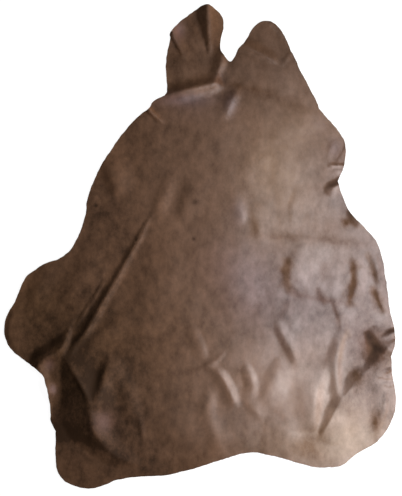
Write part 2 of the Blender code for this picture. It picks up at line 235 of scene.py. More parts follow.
FOLDS = {
    "left lobe ridge": Fold(("plane", 28), ("firm", 26), (
        (21, 401, 0), (20, 439, 5.5), (18, 481, 11), (17, 515, 13.5))),
    "left lobe pleat": Fold(("sharp", 6), ("firm", 26, 14), (
        (-30, 394, 0), (-42, 421, 4), (-57, 450, 6.2), (-60, 473, 7))),
    "notch ridge": Fold(("pinched", 22), ("pinched", 12), (
        (31, 345, 5), (40, 373, 5), (48, 394, 5), (49, 413, 4), (39, 430, 1))),
    "neck crease": Fold(("pinched", 20), ("firm", 21), (
        (-92, 313, 2), (-71, 321, 5), (-41, 329, 8.8), (1, 340, 9.4), (31, 348, 7.5), (48, 354, 0))),
    "throat ridge": Fold(("firm", 20), ("soft", 16), (
        (50, 266, 0), (58, 290, 2.4), (68, 313, 3.4), (78, 330, 2.2), (82, 345, 0))),
    "right lobe crease": Fold(("firm", 20), ("pinched", 9), (
        (72, 434, 1.5), (101, 422, 3.2), (120, 414, 3.2), (146, 401, 2.6), (170, 385, 0))),
    "shoulder nick": Fold(("pinched", 8), ("pinched", 8), (
        (-78, 262, 0), (-92, 276, 2.6), (-103, 287, 4.6), (-112, 296, 5))),
    "long crease": Fold(("pinched", 17, 8), ("pinched", 14, 10), (
        (-279, -237, 2), (-264, -209, 4.6), (-246, -188, 5.4), (-226, -156, 5.4), (-203, -114, 5),
        (-173, -63, 3.8), (-152, -24, 3.1), (-126, 22, 2.6), (-114, 46, 1.6), (-97, 75, 0))),
    "waist crest": Fold(("plane", 31), ("pinched", 30, 8), (
        (-360, -275, 5.5), (-343, -254, 7.5), (-326, -237, 8.5), (-307, -229, 8.5), (-292, -215, 8),
        (-282, -194, 5.5), (-274, -167, 0))),
    "flank rim": Fold(("plane", 14), ("plane", 24), (
        (-309, -390, 0), (-318, -352, 2), (-322, -328, 3.5), (-324, -305, 7), (-330, -279, 4.5),
        (-339, -262, 7))),
    "belly": Fold(("plane", 86, 64), ("firm", 24, 56), (
        (-118, -468, 0), (-146, -458, 2.6), (-172, -448, 3.8), (-194, -432, 5), (-212, -410, 6.6),
        (-226, -388, 9), (-230, -370, 11), (-232, -350, 12), (-241, -318, 11), (-258, -286, 8),
        (-275, -256, 5), (-290, -231, 2.5))),
    "right flank rib": Fold(("soft", 16), ("soft", 22), (
        (326, -135, 0), (336, -97, 1.3), (339, -63, 1.8), (335, -31, 1.5), (324, 5, 0))),
    "right rim tuck": Fold(("firm", 12), ("firm", 14), (
        (402, -160, 0), (394, -132, 1.9), (383, -107, 1.7), (370, -84, 0))),
    "loin ridge": Fold(("soft", 18), ("firm", 20), (
        (218, -268, 0), (201, -226, 1.8), (184, -196, 2), (172, -172, 1.4), (163, -145, 0))),
    "rump curl": Fold(("firm", 22), ("firm", 16), (
        (82, -345, 0), (71, -324, 2.4), (60, -298, 3.4), (45, -274, 3), (27, -261, 1.2), (7, -256, 0))),
    "tongue": Fold(("soft", 24), ("pinched", 12), (
        (301, -322, 2.2), (295, -294, 3), (292, -252, 3.6), (296, -222, 3.2), (303, -197, 2),
        (312, -170, 0))),
    "flap crest": Fold(("plane", 38), ("firm", 84), (
        (332, -293, 0), (345, -277, 2.2), (356, -265, 3.2), (366, -254, 4), (378, -240, 5.2),
        (394, -222, 7), (409, -206, 8))),
    "lower flap crest": Fold(("plane", 30), ("firm", 60), (
        (251, -411, 0.4), (266, -390, 2.2), (279, -368, 3.6), (299, -333, 4), (320, -305, 4),
        (337, -284, 4.6), (350, -270, 3.8), (362, -257, 0))),
    "flap pocket": Fold(("firm", 22), ("firm", 24), (
        (420, -226, 9), (398, -214, 7.5), (384, -201, 5.5), (373, -182, 3.6), (367, -165, 0))),
    "pleat one": Fold(("pinched", 7), ("sharp", 4), ((268, 168, 0), (288, 171, 1.8), (309, 170, 2.4))),
    "pleat two": Fold(("firm", 13), ("firm", 22), ((264, 114, 0), (282, 124, 4.6), (301, 133, 6))),
    "pleat three": Fold(("pinched", 6), ("pinched", 5), (
        (284, 160, 0), (301, 188, 1.6), (311, 211, 1.6), (307, 235, 0))),
    "edge dent": Fold(("firm", 16), ("firm", 14), ((351, 36, 0), (341, 51, 4), (330, 69, 5))),
    "edge curl": Fold(("pinched", 9), ("firm", 14), ((373, -203, 0), (396, -190, 4.5), (420, -180, 6.5))),
}
print(len(FOLDS), "folds")

# %% Soft rises, which add to what is there


def soft_rise(left, right, *crest):
    """A rise that is soft on both sides, with a width for each."""
    return Fold(("soft", left), ("soft", right), crest)


RISES = {
    "left lobe middle": soft_rise(10, 12, (14, 405, 0), (-3, 439, 1.6), (-18, 469, 1.6), (-31, 496, 0)),
    "left lobe base": soft_rise(34, 34, (-3, 341, 0), (-24, 371, 2.6), (-37, 396, 2.4), (-39, 426, 0)),
    "right lobe tuck": soft_rise(10, 10, (167, 371, 0), (180, 392, 0.9), (192, 409, 0.9), (205, 426, 0)),
    "right lobe curl": soft_rise(8, 8, (182, 441, 0), (170, 458, 1.4), (154, 475, 1.6)),
    "old fold, neck": soft_rise(9, 12,
        (44, 345, 0.6), (86, 339, 0.6), (139, 326, 0.6), (192, 305, 0.5), (248, 279, 0.6)),
    "left edge dip": soft_rise(22, 44, (-167, 103, 0), (-177, 131, 4), (-188, 158, 4.6), (-199, 194, 0)),
    "shoulder lens": soft_rise(20, 25, (-97, 52, 0), (-84, 86, 2), (-70, 124, 1.8), (-50, 171, 0)),
    "shoulder lens, back": soft_rise(18, 44, (-39, 44, 0), (-29, 82, 1.8), (-20, 120, 1.7), (-16, 163, 0)),
    "long crease bank": soft_rise(34, 8,
        (-305, -216, 0), (-286, -182, 1), (-254, -133, 1), (-228, -92, 1), (-201, -50, 0.8),
        (-175, -12, 0.6), (-148, 27, 0)),
    "lobe dome": soft_rise(26, 32, (-352, -135, 0), (-347, -101, 2.4), (-333, -71, 2.6), (-309, -35, 0)),
    "lobe rim": soft_rise(9, 54, (-377, -235, 0), (-401, -194, 2), (-401, -160, 2), (-384, -114, 0)),
    "lobe neck": soft_rise(36, 30, (-301, -126, 0), (-267, -82, 2.4), (-237, -37, 2.4), (-216, 14, 0)),
    "belly lip": Fold(("pinched", 6), ("pinched", 8), (
        (-225, -345, 0), (-238, -318, 1.2), (-252, -292, 1.6), (-266, -268, 1.4), (-282, -240, 0))),
    "belly horn": soft_rise(18, 26, (-214, -424, 0), (-220, -398, 2.4), (-226, -376, 2), (-228, -350, 0)),
    "belly rib": Fold(("firm", 17), ("soft", 36), (
        (-222, -350, 0), (-216, -328, 4.2), (-208, -302, 6.4), (-201, -275, 6.2), (-194, -250, 4),
        (-186, -226, 0))),
    "belly swell": soft_rise(22, 30,
        (-134, -390, 0), (-146, -350, 2), (-156, -312, 2.2), (-168, -275, 1.8), (-175, -235, 0)),
    "belly tuck": soft_rise(7, 12, (-116, -424, 0), (-124, -388, 1.4), (-131, -352, 0)),
    "belly shelf": soft_rise(24, 26,
        (-254, -222, 0), (-218, -192, 2.4), (-190, -177, 2.8), (-165, -160, 2.2), (-131, -139, 0)),
    "middle lens": soft_rise(22, 22, (94, 48, 0), (87, 66, 1), (78, 90, 0.9), (71, 122, 0)),
    "middle lens, back": soft_rise(16, 34, (130, 15, 0), (127, 42, 1.3), (119, 66, 1), (112, 95, 0)),
    "shoulder stretch": soft_rise(20, 46, (209, 5, 0), (201, 61, 0.7), (207, 109, 0.8), (222, 163, 0)),
    "old fold, back": soft_rise(9, 13, (78, 31, 0), (192, 20, 0.6), (277, 12, 0.8), (379, 1, 0.8)),
    "old fold, loin": Fold(("pinched", 8), ("pinched", 9), (
        (175, -97, 0), (235, -107, 0.9), (333, -122, 0.9))),
    "back swell": soft_rise(20, 46,
        (199, -116, 0), (195, -84, 1.1), (194, -52, 1.4), (205, -22, 1), (226, 18, 0)),
    "rib one": soft_rise(30, 22, (288, -139, 0), (290, -84, 1.3), (295, -46, 1.3), (313, 5, 0)),
    "rim tuck two": Fold(("firm", 12), ("soft", 14), (
        (392, -100, 0), (381, -65, 1.8), (374, -33, 1.8), (364, 0, 0))),
    "loin tuck one": soft_rise(12, 16, (314, -196, 0), (303, -158, 1.2), (291, -126, 1.1), (278, -90, 0)),
    "loin tuck two": soft_rise(10, 14, (277, -145, 0), (268, -116, 0.8), (256, -92, 0.8), (245, -62, 0)),
    "loin streak": soft_rise(26, 20, (14, -258, 0), (3, -222, 1.5), (-10, -188, 1.5), (-27, -148, 0)),
    "hind swell": soft_rise(28, 50,
        (125, -345, 0), (142, -316, 1.6), (158, -285, 1.8), (172, -255, 1.4), (184, -220, 0)),
    "rump vee": soft_rise(16, 22,
        (92, -240, 0), (102, -260, 1.2), (109, -280, 1.6), (112, -302, 1.4), (106, -326, 0)),
    "rump ridge": soft_rise(22, 24,
        (50, -440, 0), (28, -392, 1.3), (17, -355, 1.5), (19, -322, 1.3), (35, -280, 0)),
    "rump tuck": soft_rise(16, 22, (142, -375, 0), (118, -345, 1.1), (103, -324, 1.1), (90, -298, 0)),
    "rump line": soft_rise(7, 12,
        (-50, -277, 0), (-3, -262, 1), (29, -245, 1.1), (52, -224, 0.8), (69, -199, 0)),
    "valley bank": Fold(("soft", 70), ("firm", 17), (
        (248, -400, 0), (246, -374, 2.4), (245, -339, 4.2), (250, -301, 4), (262, -271, 2.4),
        (279, -224, 0))),
    "flap streak": soft_rise(18, 16, (358, -437, 0), (371, -398, 1), (387, -356, 1.2), (396, -318, 0)),
    "pleat bank": soft_rise(16, 12, (277, 158, 0), (279, 203, 1), (294, 243, 0)),
    "back rise": soft_rise(90, 120,
        (31, 320, 0), (56, 205, 2.6), (73, 78, 3), (69, -50, 2.4), (44, -177, 0)),
    "side rise": soft_rise(60, 60, (-105, -211, 0), (-105, -135, 1.8), (-84, -50, 2), (-58, 31, 0)),
    "hind rise": soft_rise(60, 50,
        (-105, -411, 0), (-50, -390, 2), (14, -403, 2.4), (86, -403, 2), (146, -411, 0)),
}
print(len(RISES), "soft rises")

# %% Thin wrinkles, which also add
WRINKLES = {
    "second line of the long crease": Fold(("pinched", 6), ("pinched", 5), (
        (-194, -58, 0), (-213, -90, 1.5), (-232, -120, 1.7), (-249, -146, 1.7), (-263, -172, 0))),
    "rim of the shoulder nick": Fold(("pinched", 8), ("sharp", 5), (
        (-70, 256, 0), (-84, 270, 1.5), (-98, 283, 2.1), (-114, 299, 2.3))),
    "wrinkle at the left shoulder": Fold(("pinched", 5), ("pinched", 5), (
        (-238, 113, 1.4), (-224, 107, 1.2), (-210, 97, 0))),
    "upper wrinkle at the left shoulder": Fold(("pinched", 5), ("pinched", 5), (
        (-231, 124, 1.2), (-220, 120, 1), (-208, 112, 0))),
    "upper wrinkle at the flap": Fold(("pinched", 5), ("pinched", 4), (
        (376, -262, 0), (390, -267, 1.5), (404, -262, 1.8), (413, -258, 1.4))),
    "middle wrinkle at the flap": Fold(("pinched", 4), ("pinched", 5), (
        (370, -279, 0), (384, -274, 1.4), (396, -278, 1.2), (408, -275, 1.5))),
    "lower wrinkle at the flap": Fold(("pinched", 5), ("pinched", 5), (
        (384, -296, 0), (395, -291, 1.4), (404, -294, 1.2), (414, -291, 1.4))),
    "crease at the corner of the flap": Fold(("pinched", 4), ("pinched", 5), (
        (397, -296, 0), (395, -322, 1.1), (394, -350, 1.1), (390, -370, 0))),
}
print(len(WRINKLES), "wrinkles")

# %% [markdown]
# ## From the table to a height
#
# For any place on the skin, the nearest point of a crest line gives three things: how far off it is,
# how high the crest is there, and on which side the place lies. They give the fold's height at that
# place. Only the places near a fold need to be asked, which keeps this quick.

# %% The nearest point of a line


def nearest_on_line(line, xy):
    """For each point: distance to the line, the line's height and run (0 to 1) there, and the side."""
    lengths = np.hypot(*np.diff(line[:, :2], axis=0).T)
    run = np.concatenate([[0], np.cumsum(lengths)]) / lengths.sum()
    distance = np.full(len(xy), np.inf)
    height, along, side = np.zeros(len(xy)), np.zeros(len(xy)), np.zeros(len(xy))
    for index, length in enumerate(lengths):
        start, way = line[index, :2], line[index + 1, :2] - line[index, :2]
        t = np.clip(((xy - start) @ way) / length ** 2, 0, 1)
        off = xy - start - t[:, None] * way
        away = np.hypot(*off.T)
        closer = away < distance
        distance[closer] = away[closer]
        height[closer] = (line[index, 2] + t * (line[index + 1, 2] - line[index, 2]))[closer]
        along[closer] = (run[index] + t * (run[index + 1] - run[index]))[closer]
        side[closer] = (way[0] * off[:, 1] - way[1] * off[:, 0])[closer]
    return distance, height, along, side


slope = np.array([(0, 0, 1), (10, 0, 2)], float)
answers = nearest_on_line(slope, np.array([(5.0, 3.0)]))
print("distance, height, run and side:", *[answer[0] for answer in answers])

# %% One side of a fold, and the whole fold
CREST_DETAIL = 4.0         # longest straight piece of a crest line
LOWEST_CREST = 0.01        # keeps a plane side's width above zero where its crest ends
REACH = 2.2                # a bell-shaped side ends at this many widths
STEEP = 1.8                # how fast it falls on the way
TOE = 0.05                 # how softly a plane side meets the table


def flank_height(flank, distance, crest, along):
    """Height of one side of a fold at a distance from its crest line."""
    kind, width = flank[0], flank[1] + (flank[-1] - flank[1]) * along
    if kind == "plane":
        width = width * np.maximum(crest, LOWEST_CREST) / crest.max()
        left = np.clip(1 - distance / width, 0, None)
        return crest * (1 + TOE) * left ** 2 / (left + TOE)
    t = np.minimum(distance / width, REACH)
    ridge = (np.exp(-STEEP * t) - math.exp(-STEEP * REACH)) / (1 - math.exp(-STEEP * REACH))
    bell = (np.exp(-STEEP * t ** 2) - math.exp(-STEEP * REACH ** 2)) / (1 - math.exp(-STEEP * REACH ** 2))
    return crest * (CREST_PINCH[kind] * ridge + (1 - CREST_PINCH[kind]) * bell)


def fold_height(fold, xy):
    """Height of one fold at each place."""
    line = smooth_curve(fold.crest, CREST_DETAIL)
    line[:, 2] = np.clip(line[:, 2], 0, None)
    reach = REACH * max(fold.left[1:] + fold.right[1:])
    near = np.all((xy > line[:, :2].min(axis=0) - reach) & (xy < line[:, :2].max(axis=0) + reach), axis=1)
    distance, crest, along, side = nearest_on_line(line, xy[near])
    left = flank_height(fold.left, distance, crest, along)
    right = flank_height(fold.right, distance, crest, along)
    height = np.zeros(len(xy))
    height[near] = np.where(side > 0, left, right)
    return height


crease = FOLDS["neck crease"]
print("the neck crease rises to", round(fold_height(crease, np.array([crease.crest[3][:2]]))[0], 1), "mm")

# %% All folds together
JOIN = 2.5                 # how sharply two folds meet: a sum at 1, the higher one alone when large
SETTLED = 0.5              # the lowest part of every rise, which the leather's own weight presses flat


def sheet_height(xy):
    """Height of the sheet's underside over the table."""
    merged = sum(fold_height(fold, xy) ** JOIN for fold in FOLDS.values()) ** (1 / JOIN)
    raised = merged + sum(fold_height(rise, xy) for rise in (*RISES.values(), *WRINKLES.values()))
    return np.maximum(raised - SETTLED, 0)


print("the cut edge lifts by up to", round(sheet_height(cut_edge).max(), 1), "mm")

# %% [markdown]
# ## The low relief between the folds
#
# Even where it lies flat, leather isn't a flat plane: the skin was thicker here and thinner there, and
# each part stretched its own way as it dried. That gives it slow waves of a few tenths of a millimetre,
# which only a raking light shows. Noise at three sizes makes them.

# %% Waves of a few tenths of a millimetre
WAVES = ((62, 0.7), (32, 0.5), (16, 0.22))    # distance between waves, and their height
WAVE_STRETCH = 1.15                           # how much longer they are along the skin
WAVE_ROW = 7.3                                # how far apart in the noise the sizes are read


def low_relief(xy):
    """Slow waves all over the sheet, never below zero."""
    relief = np.zeros(len(xy))
    for number, (size, height) in enumerate(WAVES):
        waves = [noise.noise(Vector((x / size, y / size / WAVE_STRETCH, WAVE_ROW * number))) for x, y in xy]
        relief += height * (1 + np.array(waves)) / 2
    return relief


print("low relief at the cut edge: up to", round(low_relief(cut_edge).max(), 1), "mm")

# %% [markdown]
# ## The sheet
#
# The points of the sheet are its cut edge, the crest lines, and an even triangular lattice between them.
# A constrained Delaunay triangulation joins them into triangles and keeps the edges that matter: those
# of the cut edge, so that nothing sticks out, and those of the crests, so that sharp folds stay sharp.
# The top is shaded smooth up to the cut edge, and breaks off there at a sharp corner, as knife-cut
# leather does. A Solidify modifier gives the sheet its thickness.

# %% Points of the sheet in plan
LATTICE = 3.9              # distance between the points of the lattice
CREST_STEP = 3.0           # distance between the points of a crest line
CROWDED = 0.6              # a point nearer to another than this share of LATTICE is left out


def inside(loop, xy, margin):
    """True for each point inside the loop and at least `margin` from it."""
    closed = np.vstack([loop, loop[:1]])
    crossings = np.zeros(len(xy), int)
    for (x0, y0), (x1, y1) in zip(closed[:-1], closed[1:]):
        if y0 == y1:
            continue
        spans = (xy[:, 1] > min(y0, y1)) & (xy[:, 1] <= max(y0, y1))
        crossings += spans & (xy[:, 0] < x0 + (xy[:, 1] - y0) * (x1 - x0) / (y1 - y0))
    return (crossings % 2 == 1) & ~crowded(closed, xy, margin)


def crowded(placed, xy, gap):
    """True for each point that lies nearer than `gap` to one of the placed points."""
    tree = kdtree.KDTree(len(placed))
    for number, place in enumerate(placed):
        tree.insert((place[0], place[1], 0), number)
    tree.balance()
    return np.array([tree.find((x, y, 0))[2] < gap for x, y in xy], bool)


def sheet_points(loop):
    """All points of the sheet in plan, and the edges that must stay."""
    points = [loop]
    edges = [(start, (start + 1) % len(loop)) for start in range(len(loop))]
    placed = len(loop)
    for fold in (*FOLDS.values(), *WRINKLES.values()):
        row = smooth_curve(fold.crest, CREST_STEP)[:, :2]
        kept = inside(loop, row, CREST_STEP) & ~crowded(np.vstack(points), row, CREST_STEP / 2)
        numbers = placed + np.cumsum(kept) - 1
        edges += [(numbers[k], numbers[k + 1]) for k in range(len(row) - 1) if kept[k] and kept[k + 1]]
        points.append(row[kept])
        placed += kept.sum()
    low, high = loop.min(axis=0), loop.max(axis=0)
    rows = np.arange(low[1], high[1], LATTICE * math.sqrt(3) / 2)
    lattice = np.array([(x + LATTICE / 2 * (number % 2), y)
                        for number, y in enumerate(rows) for x in np.arange(low[0], high[0], LATTICE)])
    lattice = lattice[inside(loop, lattice, CROWDED * LATTICE)]
    points.append(lattice[~crowded(np.vstack(points), lattice, CROWDED * LATTICE)])
    return np.vstack(points), edges


points, edges = sheet_points(cut_edge)
print(len(points), "points,", len(edges), "edges kept")

# %% Triangles and heights
INSIDE_ONLY = 1            # the triangulation's own number for: nothing outside the cut edge
SAME_POINT = 1e-5
places = [Vector(place) for place in points]
plan, _, triangles, *_ = delaunay_2d_cdt(places, edges, [], INSIDE_ONLY, SAME_POINT)
xy = np.array([tuple(place) for place in plan])
lift = sheet_height(xy) + low_relief(xy)
corners = np.column_stack([xy - skin_middle, lift]) * MM + (MIDDLE.x, MIDDLE.y, LOW[2])
mesh = bpy.data.meshes.new("hide sheet")
mesh.from_pydata(corners.tolist(), [], triangles)
if sum(polygon.normal.z for polygon in mesh.polygons) < 0:
    mesh.flip_normals()
print(len(triangles), "triangles on each side, highest fold", round(lift.max(), 1), "mm")

# %% Shading and thickness
mesh.shade_smooth()
triangles_at_edge = np.bincount([loop.edge_index for loop in mesh.loops])
mesh.attributes.new("sharp_edge", "BOOLEAN", "EDGE").data.foreach_set("value", triangles_at_edge == 1)
hide = bpy.data.objects.new("hide", mesh)
bpy.context.scene.collection.objects.link(hide)
leather = hide.modifiers.new("leather thickness", "SOLIDIFY")
leather.thickness = THICKNESS * MM
leather.offset = 1
leather.material_offset = 1
leather.material_offset_rim = 2
print((triangles_at_edge == 1).sum(), "edges around the cut,", THICKNESS, "mm thick")

# %% [markdown]
# ## Where the dye and the finish took, and where shade and highlights are painted
#
# The brown changes slowly from place to place: it is darker over the lower left and lighter on the back. The
# finish is sprayed on last. It lies thicker in some places and wears off along old folds. Where it is thin
# the brown looks warmer. A warm and a cool tint are partly the leather's own hue and partly the painted
# colour of the sheen: cool on the loin and the back, warm on the hind corner. Some darker areas and streaks
# are painted shade, in hollows and on slopes that turn from the light and the sheen. Some lighter ones are
# painted highlights on lit crests and rims. So there are three values: the lightness, painted shade and
# highlights included, the finish and the warmth. Areas are soft ovals and streaks are soft lines, listed one
# by one. Painting them by hand would do as well, but sums of ovals and lines need no file. They are stored at
# each point of the sheet, for the material to read.

# %% Wide areas: place, half sizes, and changes of the dye's lightness, the finish and the warmth
Area = namedtuple("Area", "x y half_width half_height dye finish warmth", defaults=(0,))
WIDE_AREAS = {
    # darker and warmer over the lower left
    "darker lower left flank": Area(-245, -235, 130, 120, -0.46, -0.06, 0.35),
    "left waist": Area(-270, -75, 110, 60, -0.1, 0),
    "hind corner": Area(-240, -400, 90, 90, -0.2, -0.1),
    "lower belly": Area(-140, -390, 90, 80, -0.2, -0.1),
    "left hind edge": Area(-90, -475, 130, 40, -0.2, -0.7),
    "neck": Area(60, 400, 160, 90, -0.2, -0.05),
    "right shoulder": Area(165, 150, 75, 120, 0.19, -0.06, 0.75),
    "right rim": Area(385, -80, 75, 230, -0.15, 0.15, -0.4),
    "loin": Area(225, -120, 110, 95, -0.15, 0.26, -0.7),
    "rump": Area(110, -270, 100, 70, 0.06, 0.05),
    "hind edge": Area(200, -420, 90, 46, -0.08, -0.48, 0.5),
    "flap": Area(320, -425, 70, 50, 0.03, 0.06, 0.85),
    "left shoulder": Area(-195, 40, 60, 90, -0.26, 0),
    "blue patch on the back": Area(110, -90, 60, 70, 0, 0.05, -0.6),
    "corner of the flap": Area(374, -320, 60, 60, -0.16, 0.19, -0.3),
    "behind the loin": Area(180, -290, 80, 50, 0.06, 0.15),
    "left side of the neck": Area(-120, 240, 60, 90, -0.14, 0),
    "left lobe of the flank": Area(-345, -130, 60, 70, -0.12, 0, 0.3),
    "middle of the back": Area(0, 80, 110, 120, 0, 0.08),
    "middle of the loin": Area(62, -30, 60, 60, 0, 0.1, -0.3),
    "middle of the loin, hind part": Area(-10, -250, 110, 165, 0, 0.2),
    "middle of the left shoulder": Area(-126, 110, 60, 70, 0, 0.35),
    "polish before the hind edge": Area(15, -400, 90, 56, 0, 0.17),
}
print(len(WIDE_AREAS), "wide areas")

# %% Patches of the front half, from the neck to the shoulders
FRONT_PATCHES = {
    # painted sheen: cooler and glossier under the neck crease
    "painted sheen below the neck crease": Area(-30, 312, 60, 14, -0.05, 0.9, -0.9),
    "middle": Area(84, 74, 18, 30, -0.04, 0.5, -0.6),
    # painted sheen: cooler and glossier on the throat ridge
    "throat": Area(67, 304, 14, 26, -0.05, 0.5, -0.7),
    # painted highlight: lighter and cooler on the crown of the left lobe
    "painted highlight on the crown of the left lobe": Area(-44, 460, 13, 22, 0.26, 3.4, -0.8),
    "right shoulder, edge": Area(310, 120, 50, 60, -0.12, -0.12, -0.3),
    "right side of the neck": Area(219, 255, 48, 45, 0.17, 0.12, 0.3),
    "root of the notch": Area(44, 355, 12, 16, -0.1, 0, -0.3),
    "dull patch on the shoulder": Area(256, 35, 40, 25, 0, -0.3),
    "bright patch on the shoulder": Area(214, 99, 30, 40, 0.1, -0.06),
    "cool patch on the shoulder": Area(255, 258, 18, 16, 0.08, 0.2, -0.3),
    "cool patch at the shoulder's edge": Area(288, 210, 14, 18, -0.06, 0.15, -0.7),
    "lighter patch on the right lobe": Area(205, 350, 32, 42, 0.2, 0.1),
    "right side of the left lobe": Area(38, 452, 14, 40, 0.04, -1.1),
    # painted shade: darker in the hollow beside the throat ridge
    "painted shade in the hollow at the throat": Area(44, 318, 12, 18, -0.2, -0.1),
    "brown patch on the back": Area(118, 44, 13, 22, -0.08, -0.2, 0.3),
    "neck below the crease": Area(-20, 290, 60, 30, 0.02, 0.12, -0.2),
    "ochre patch on the shoulder": Area(135, 180, 30, 40, 0.07, 0.06, 0.2),
    "dull patch at the pleats": Area(300, 186, 30, 26, 0, -0.3),
    "bright patch behind the pleats": Area(296, 92, 34, 26, -0.05, 0.32),
    "lighter patch before the neck crease": Area(0, 354, 70, 28, 0.11, 0),
    "lighter patch at the throat": Area(44, 262, 36, 34, 0.13, 0.02),
    "lighter patch in the middle": Area(44, 14, 40, 40, 0.07, 0.06),
    "brown patch below the shoulder": Area(-126, 14, 40, 40, -0.08, 0),
}
print(len(FRONT_PATCHES), "front patches")

# %% Patches of the hind half, from the loin to the hind edge
HIND_PATCHES = {
    "behind the rump": Area(78, -358, 34, 26, -0.15, -0.05),
    "brown patch on the flap": Area(374, -372, 12, 30, -0.15, -0.45),
    "above the flap": Area(345, -215, 50, 60, -0.1, 0.02, -0.4),
    # painted shade: darker on the side of the belly fold that turns from the light
    "belly hollow": Area(-280, -360, 30, 36, -0.12, -0.2),
    "bright patch on the ribs": Area(224, -50, 24, 34, 0.06, 0.2),
    "bright patch behind the ribs": Area(288, -86, 30, 14, 0.06, 0.2),
    # painted shade: duller, warmer patches on the flap's slopes that turn from the light and the sheen
    "painted shade beside the flap": Area(366, -215, 20, 38, 0, -0.7, 0.5),
    "painted shade at the flap": Area(333, -275, 16, 20, -0.05, -0.4, 0.4),
    "hollow before the rump": Area(-28, -335, 50, 55, -0.03, 0),
    "polished hind band": Area(200, -365, 26, 62, 0.16, 0.64),
    "lighter patch beside the long crease": Area(-190, -200, 42, 32, 0.2, 0),
    # painted shade: darker at the foot of the belly fold's shaded side
    "foot of the belly hollow": Area(-290, -394, 26, 26, -0.3, -0.3),
    "right of the backbone": Area(129, -20, 42, 55, -0.07, -0.07, -0.1),
    "beside the rump": Area(135, -245, 36, 42, 0.12, 0.22),
    "rump, hind part": Area(44, -330, 42, 42, 0.12, 0.25),
    "upper rim of the flank lobe": Area(-378, -68, 32, 34, 0.2, 0.05),
    # painted shade on the slope beside the lower flap crest
    "darker patch beside the flap crest": Area(300, -322, 22, 26, -0.1, 0),
    "flap, middle": Area(330, -380, 60, 50, 0, 0, 0.4),
    "bright patch behind the rump": Area(128, -326, 36, 34, 0.04, 0.22),
    # painted shade on the slope beside the flap crest
    "brown patch at the flap crest": Area(384, -241, 28, 26, -0.12, 0),
    # painted highlights: lighter, glossier, cooler spots where the waist crest, the flank rim and the belly
    # face the light
    "painted highlight on the corner of the waist crest": Area(-318, -250, 13, 16, 0.2, 0.6, -0.9),
    "painted highlight on the flank rim": Area(-311, -303, 10, 13, 0.4, 1.2, -1),
    "lighter patch on the belly": Area(-203, -371, 24, 24, 0.15, 0.35, -0.8),
    "dull patch before the hind edge": Area(222, -426, 34, 28, 0, -0.28),
    "bright patch on the rim": Area(350, -71, 60, 38, -0.02, 0.2),
    "dull patch behind the loin": Area(214, -241, 30, 30, -0.06, -0.12),
    "lighter patch before the belly": Area(-41, -241, 40, 36, 0.11, 0),
    "darker patch behind the belly rib": Area(-198, -322, 24, 22, -0.16, 0),
    "darker band of the loin": Area(175, -160, 80, 38, -0.05, 0.1),
    "darker patch on the rim": Area(384, -156, 30, 36, -0.06, 0.22),
    "darker patch beside the rim": Area(300, -156, 40, 36, -0.03, 0.06),
    "darker patch on the tongue": Area(299, -241, 36, 36, -0.04, 0.14),
    "dull hind edge": Area(30, -462, 80, 18, 0, -0.3),
    "lighter patch at the belly rib": Area(-196, -250, 20, 34, 0.18, 0, -0.1),
}
print(len(HIND_PATCHES), "hind patches")

# %% Marks: spots a few millimetres wide
MARKS = {
    "mark on the left waist": Area(-220, 88, 4, 4, -0.4, 0),
    "mark on the left shoulder": Area(-186, 177, 4, 4, -0.4, 0),
    # painted highlight: lighter and glossier at the tip of pleat one
    "painted highlight at the tip of pleat one": Area(299, 157, 8, 5, 0.25, 0.3),
    # darker and duller at the flap wrinkles
    "darker patch at the wrinkles": Area(397, -270, 12, 12, -0.07, -0.15),
    "dark dot in the wrinkles": Area(403, -260, 4, 3, -0.25, -0.2),
    "bright spot in the middle": Area(95, 60, 5, 8, 0.15, 0.4),
    "dark spot": Area(-8.5, 95.2, 6, 6, -0.5, 0),
    "small dark spot": Area(-12.3, 15.9, 4, 4, -0.5, 0),
}
print(len(MARKS), "marks")

# %% The sum of all areas
AREAS = {**WIDE_AREAS, **FRONT_PATCHES, **HIND_PATCHES, **MARKS}


def area_sum(xy, column):
    """Sum of one column of the areas at each place."""
    total = np.zeros(len(xy))
    for area in AREAS.values():
        off = (xy - (area.x, area.y)) / (area.half_width, area.half_height)
        total += getattr(area, column) * np.exp(-np.sum(off ** 2, axis=1))
    return total


print("dye in the middle of the skin:", round(area_sum(np.array([(0.0, 0.0)]), "dye")[0], 2))
